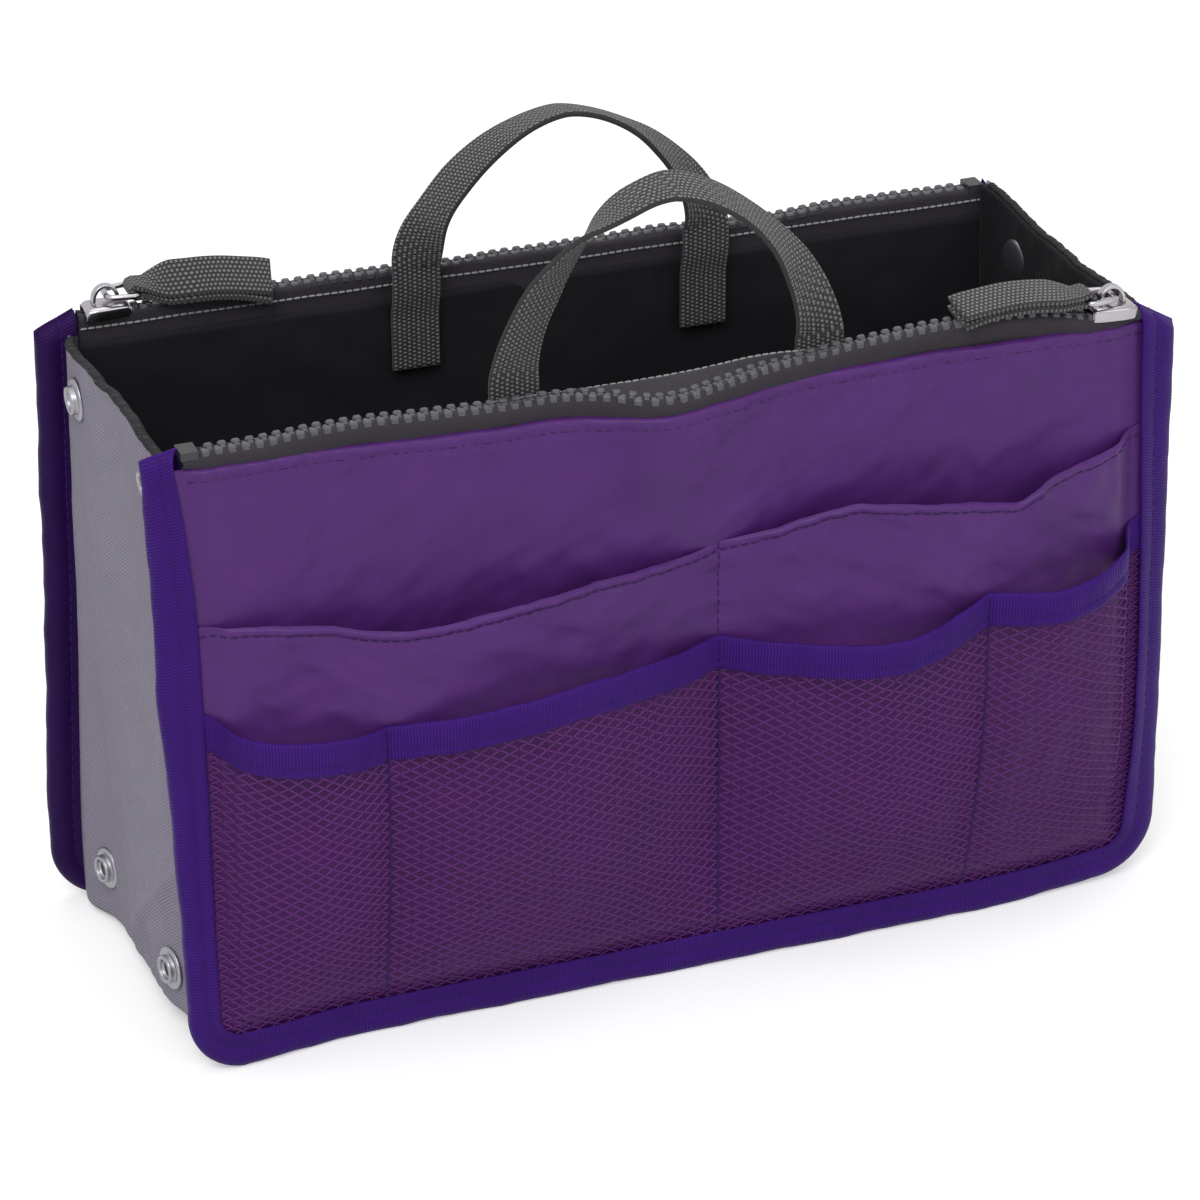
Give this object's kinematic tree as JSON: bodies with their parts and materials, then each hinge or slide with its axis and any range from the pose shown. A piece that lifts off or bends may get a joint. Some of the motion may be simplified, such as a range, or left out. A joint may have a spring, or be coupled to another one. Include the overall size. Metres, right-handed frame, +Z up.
{
  "type": "purse organizer insert",
  "caption": "Free-standing zipped organizer insert for a handbag, with folding gussets, outside pockets, mesh pockets and webbing handles.",
  "frame": {"origin": "on the floor, under the middle of the whole organizer's box", "axes": "+X along the walls towards the front slider's rest end, +Y towards the rear wall, +Z up"},
  "size_m": [0.286, 0.1328, 0.2305],
  "materials": {
    "purple_nylon": "satin",
    "purple_grosgrain": "ribbed",
    "purple_netting": "knitted",
    "grey_twill": "twill",
    "black_lining": "matt",
    "zip_tape": "woven",
    "zip_plastic": "moulded",
    "bright_nickel": "polished",
    "snap_steel": "satin",
    "grey_webbing": "webbing"
  },
  "bodies": {
    "rear_wall": {"rear_outer_panel": "purple_nylon", "rear_lining_panel": "black_lining", "rear_binding": "purple_grosgrain", "rear_zip_outer_tape": "zip_tape", "rear_zip_inner_tape": "zip_tape", "rear_zip_end_stop": "zip_plastic", "rear_handle_left_end": "grey_webbing", "rear_handle_right_end": "grey_webbing", "rear_slip_pockets": "purple_nylon"},
    "front_wall": {"front_outer_panel": "purple_nylon", "front_lining_panel": "black_lining", "front_binding": "purple_grosgrain", "front_zip_outer_tape": "zip_tape", "front_zip_inner_tape": "zip_tape", "front_zip_end_stop": "zip_plastic", "front_handle_left_end": "grey_webbing", "front_handle_right_end": "grey_webbing", "front_fabric_pockets": "purple_nylon", "mesh_pocket_1": "purple_netting", "mesh_pocket_2": "purple_netting", "mesh_pocket_3": "purple_netting", "mesh_pocket_4": "purple_netting", "mesh_pocket_top_tape": "purple_grosgrain"},
    "left_gusset_rear": {"left_gusset_rear_panel": "grey_twill", "left_gusset_rear_lining": "black_lining", "left_rear_lower_snap_socket": "snap_steel", "left_rear_lower_snap_cap": "snap_steel", "left_rear_upper_snap_socket": "snap_steel", "left_rear_upper_snap_cap": "snap_steel"},
    "left_gusset_front": {"left_gusset_front_panel": "grey_twill", "left_gusset_front_lining": "black_lining", "left_front_lower_snap_socket": "snap_steel", "left_front_lower_snap_cap": "snap_steel", "left_front_upper_snap_socket": "snap_steel", "left_front_upper_snap_cap": "snap_steel"},
    "right_gusset_rear": {"right_gusset_rear_panel": "grey_twill", "right_gusset_rear_lining": "black_lining", "right_rear_lower_snap_socket": "snap_steel", "right_rear_lower_snap_cap": "snap_steel", "right_rear_upper_snap_socket": "snap_steel", "right_rear_upper_snap_cap": "snap_steel"},
    "right_gusset_front": {"right_gusset_front_panel": "grey_twill", "right_gusset_front_lining": "black_lining", "right_front_lower_snap_socket": "snap_steel", "right_front_lower_snap_cap": "snap_steel", "right_front_upper_snap_socket": "snap_steel", "right_front_upper_snap_cap": "snap_steel"},
    "base_rear": {"base_rear_panel": "grey_twill", "left_base_pleat": "grey_twill", "right_base_pleat": "grey_twill"},
    "base_front": {"base_front_panel": "grey_twill"},
    "front_slider": {"front_zip_slider": "bright_nickel"},
    "front_pull": {"front_zip_pull_ring": "bright_nickel", "front_zip_pull_strap": "grey_webbing"},
    "front_loop": {"front_handle": "grey_webbing"},
    "rear_slider": {"rear_zip_slider": "bright_nickel"},
    "rear_pull": {"rear_zip_pull_ring": "bright_nickel", "rear_zip_pull_strap": "grey_webbing"},
    "rear_loop": {"rear_handle": "grey_webbing"}
  },
  "joints": [
    {"name": "left_gusset_rear_fold", "type": "hinge", "parent": "rear_wall", "child": "left_gusset_rear", "pos_m": [-0.132, 0.0494, 0.09], "axis": [0, 0, 1], "range_deg": [0, 60]},
    {"name": "left_gusset_crease", "type": "hinge", "parent": "left_gusset_rear", "child": "left_gusset_front", "pos_m": [-0.132, 0.0058, 0.09], "axis": [0, 0, 1], "range_deg": [-120, 0]},
    {"name": "front_wall_swing", "type": "hinge", "parent": "left_gusset_front", "child": "front_wall", "pos_m": [-0.132, -0.0378, 0.09], "axis": [0, 0, 1], "range_deg": [0, 60]},
    {"name": "right_gusset_rear_fold", "type": "hinge", "parent": "rear_wall", "child": "right_gusset_rear", "pos_m": [0.132, 0.0494, 0.09], "axis": [0, 0, 1], "range_deg": [-60, 0]},
    {"name": "right_gusset_crease", "type": "hinge", "parent": "right_gusset_rear", "child": "right_gusset_front", "pos_m": [0.132, 0.0058, 0.09], "axis": [0, 0, 1], "range_deg": [0, 120]},
    {"name": "base_rear_fold", "type": "hinge", "parent": "rear_wall", "child": "base_rear", "pos_m": [0, 0.0494, 0.011], "axis": [1, 0, 0], "range_deg": [-60, 0], "deforming": ["left_base_pleat", "right_base_pleat"]},
    {"name": "base_crease", "type": "hinge", "parent": "base_rear", "child": "base_front", "pos_m": [0, 0.0058, 0.011], "axis": [1, 0, 0], "range_deg": [0, 120]},
    {"name": "front_slider_slide", "type": "slide", "parent": "front_wall", "child": "front_slider", "axis": [1, 0, 0], "range_m": [-0.2428, 0]},
    {"name": "rear_slider_slide", "type": "slide", "parent": "rear_wall", "child": "rear_slider", "axis": [1, 0, 0], "range_m": [0, 0.2428]},
    {"name": "front_pull_swing", "type": "hinge", "parent": "front_slider", "child": "front_pull", "pos_m": [0.1244, -0.0418, 0.18205], "axis": [0, 1, 0], "range_deg": [0, 170]},
    {"name": "rear_pull_swing", "type": "hinge", "parent": "rear_slider", "child": "rear_pull", "pos_m": [-0.1244, 0.0534, 0.18205], "axis": [0, -1, 0], "range_deg": [0, 170]},
    {"name": "front_handle_fold", "type": "hinge", "parent": "front_wall", "child": "front_loop", "pos_m": [0.002, -0.03505, 0.1802], "axis": [1, 0, 0], "range_deg": [-55, 75]},
    {"name": "rear_handle_fold", "type": "hinge", "parent": "rear_wall", "child": "rear_loop", "pos_m": [0.002, 0.04665, 0.1802], "axis": [-1, 0, 0], "range_deg": [-55, 75]}
  ],
  "couplings": [
    {"joint": "left_gusset_crease", "follows": "left_gusset_rear_fold", "ratio": -2},
    {"joint": "front_wall_swing", "follows": "left_gusset_rear_fold", "ratio": 1},
    {"joint": "right_gusset_rear_fold", "follows": "left_gusset_rear_fold", "ratio": -1},
    {"joint": "right_gusset_crease", "follows": "left_gusset_rear_fold", "ratio": 2},
    {"joint": "base_rear_fold", "follows": "left_gusset_rear_fold", "ratio": -1},
    {"joint": "base_crease", "follows": "left_gusset_rear_fold", "ratio": 2}
  ]
}
